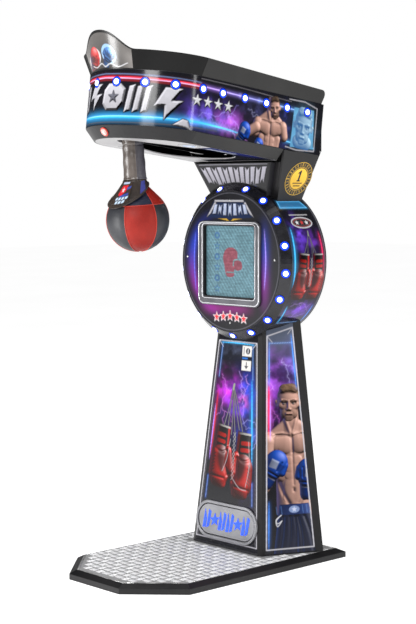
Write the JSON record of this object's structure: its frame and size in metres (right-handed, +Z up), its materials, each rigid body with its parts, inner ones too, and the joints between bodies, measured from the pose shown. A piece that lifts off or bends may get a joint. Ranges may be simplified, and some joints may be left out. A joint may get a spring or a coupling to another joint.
{
  "type": "boxing punch machine",
  "caption": "Arcade punching machine: leather punch ball on a swinging arm under an overhanging head, round display drum, tapered column and tread-plate platform.",
  "frame": {"origin": "on the floor, at the middle of the platform's rectangle", "axes": "+Z up, the machine's front and the player's side face -Y, +X to the machine's left as it faces the player"},
  "size_m": [0.7, 1.088, 2.1687],
  "materials": {
    "black_steel": "satin black powder coat",
    "tread_aluminium": "five-bar tread plate",
    "printed_panel": "glossy printed film on sheet",
    "light_ring_plastic": "black plastic with round white lamps",
    "silver_plastic": "soft silver",
    "display_glass": "lit teal display",
    "underside_panel": "light grey sheet",
    "bare_steel": "plain steel",
    "socket_plastic": "moulded",
    "sleeve_leather": "worn brown grey leather",
    "ball_leather": "stitched red and black panels",
    "pad_rubber": "foam rubber",
    "button_white": "moulded",
    "button_red": "moulded"
  },
  "bodies": {
    "cabinet": {"platform_base": "black_steel", "trim_rear": "black_steel", "trim_left": "black_steel", "trim_front_left": "black_steel", "trim_front": "black_steel", "trim_front_right": "black_steel", "trim_right": "black_steel", "corner_post_right": "black_steel", "corner_post_left": "black_steel", "rear_post_right": "black_steel", "rear_post_left": "black_steel", "column_rear_panel": "black_steel", "neck_side_right": "black_steel", "neck_side_left": "black_steel", "neck_front": "black_steel", "neck_rear": "black_steel", "head_rear": "black_steel", "head_lid": "black_steel", "rim_right": "black_steel", "rim_left": "black_steel", "rim_nose": "black_steel", "lower_rim_right": "black_steel", "lower_rim_left": "black_steel", "lower_rim_nose": "black_steel", "drum_back": "black_steel", "tread_plate": "tread_aluminium", "column_front_panel": "printed_panel", "column_side_right": "printed_panel", "column_side_left": "printed_panel", "front_disc": "printed_panel", "drum_shell": "printed_panel", "neck_sign": "printed_panel", "head_side_right": "printed_panel", "head_side_left": "printed_panel", "head_nose_band": "printed_panel", "light_ring": "light_ring_plastic", "emblem_frame": "silver_plastic", "emblem_plate": "silver_plastic", "screen_bezel": "silver_plastic", "display_panel": "display_glass", "underside_plate": "underside_panel", "bearing_right": "bare_steel", "bearing_left": "bare_steel", "cross_beam": "bare_steel", "power_supply": "bare_steel", "power_inlet": "socket_plastic", "bump_pad": "pad_rubber", "button_ring": "button_red"},
    "bag": {"pivot_shaft": "bare_steel", "swing_arm": "bare_steel", "bag_sleeve": "sleeve_leather", "bag_skirt": "sleeve_leather", "punch_ball": "ball_leather"},
    "latch": {"latch_lever": "bare_steel"},
    "start_button": {"start_button": "button_white"},
    "door": {"service_door": "black_steel"},
    "lock": {"door_lock": "bare_steel"}
  },
  "joints": [
    {"name": "bag_swing", "type": "hinge", "parent": "cabinet", "child": "bag", "pos_m": [0, -0.334, 1.8], "axis": [1, 0, 0], "range_deg": [-12, 85]},
    {"name": "latch_turn", "type": "hinge", "parent": "cabinet", "child": "latch", "pos_m": [0.076, -0.215, 1.88], "axis": [0, 1, 0], "range_deg": [0, 22]},
    {"name": "start_press", "type": "slide", "parent": "cabinet", "child": "start_button", "axis": [0, 0.8439, 0.5366], "range_m": [0, 0.004], "stiffness_N_per_m": 400},
    {"name": "door_swing", "type": "hinge", "parent": "cabinet", "child": "door", "pos_m": [-0.117, 0.43102, 0.51], "axis": [0, -0.0169, 0.9999], "range_deg": [0, 110]},
    {"name": "lock_turn", "type": "hinge", "parent": "door", "child": "lock", "pos_m": [0.098, 0.428, 0.51], "axis": [0, 1, 0], "range_deg": [0, 90]}
  ]
}
